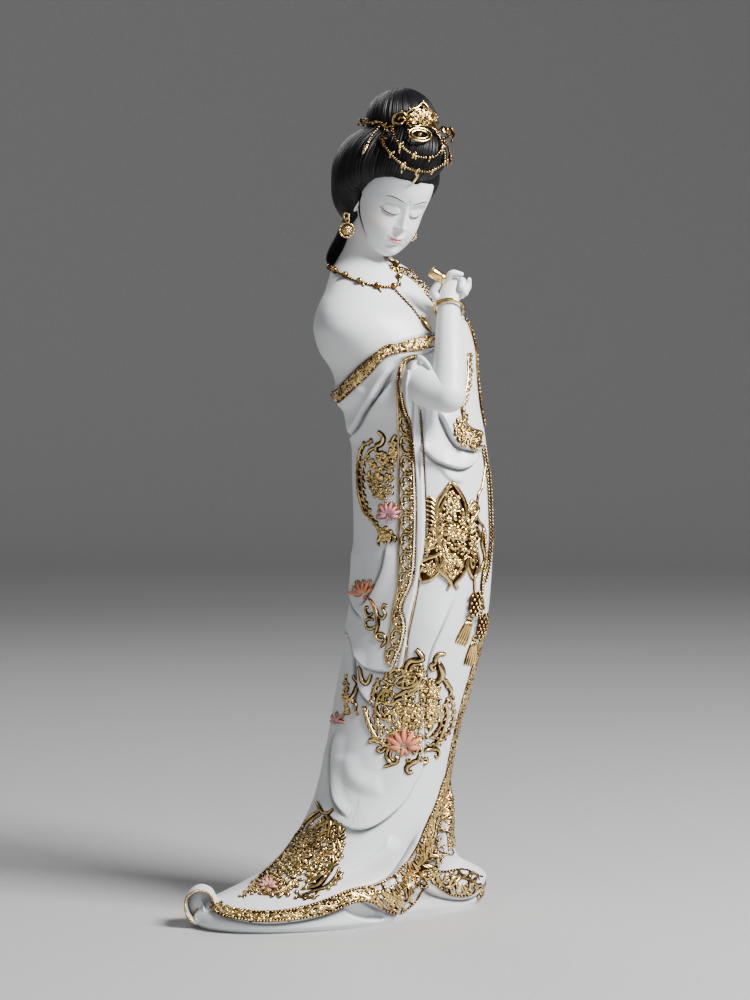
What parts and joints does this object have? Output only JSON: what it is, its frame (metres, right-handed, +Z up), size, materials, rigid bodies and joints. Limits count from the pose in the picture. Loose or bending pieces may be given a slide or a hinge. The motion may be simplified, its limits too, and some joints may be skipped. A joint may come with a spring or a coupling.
{
  "type": "tang lady figurine",
  "caption": "White porcelain court lady in a trailing robe with gilt relief, head bowed and right hand raised, black hair in a high bun with gilt ornament",
  "frame": {"origin": "middle of the underside of the spread hem, at the middle of the bounding box", "axes": "+Z up through the figure, -Y towards the viewer on the display side, +X to that viewer's right; the train trails to -X"},
  "size_m": [0.211, 0.1624, 0.562],
  "materials": {
    "porcelain": "satin white unglazed porcelain with gilt relief, pink and red touches on the flowers and black painted hair",
    "gilt": "polished gilt"
  },
  "bodies": {
    "root": {"figure": "porcelain", "headdress": "gilt", "necklace": "gilt", "bangle": "gilt", "earring_right": "gilt", "earring_left": "gilt", "scroll": "gilt"}
  },
  "joints": []
}
